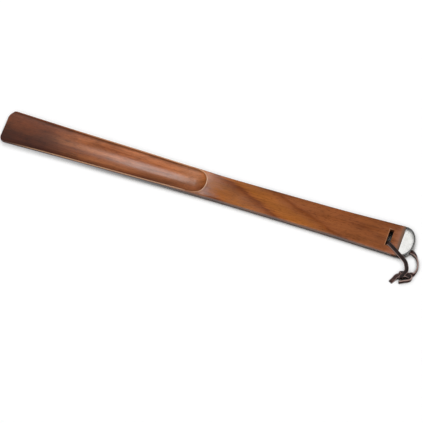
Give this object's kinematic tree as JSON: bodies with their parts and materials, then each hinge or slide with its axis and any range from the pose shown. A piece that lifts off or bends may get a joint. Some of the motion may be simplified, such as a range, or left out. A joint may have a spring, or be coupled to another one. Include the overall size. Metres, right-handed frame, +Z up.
{
  "type": "shoe horn",
  "caption": "Long varnished wooden shoe horn: scooped blade, flat handle with a cross slot, half-round polished metal end and a knotted flat leather hanging thong.",
  "frame": {"origin": "on the surface the horn lies on, below the middle of its length and width, the thong not counted", "axes": "+X along the horn from the scooped tip to the metal end cap, +Z up, out of the scoop"},
  "size_m": [0.4921, 0.0714, 0.0101],
  "materials": {
    "varnished_walnut": "clear gloss varnish over reddish-brown walnut",
    "polished_metal": "mirror polished",
    "plain_steel": "ground",
    "dark_leather": "dark brown, waxed, with paler cut edges"
  },
  "bodies": {
    "horn": {"horn_body": "varnished_walnut", "end_cap": "polished_metal", "dowel_pin_near": "plain_steel", "dowel_pin_far": "plain_steel"},
    "thong": {"leather_thong": "dark_leather"}
  },
  "joints": [
    {"name": "thong_swing", "type": "hinge", "parent": "horn", "child": "thong", "pos_m": [0.2116, -0.0074, 0.0082], "axis": [0, 0, 1], "range_deg": [-20, 4]}
  ]
}
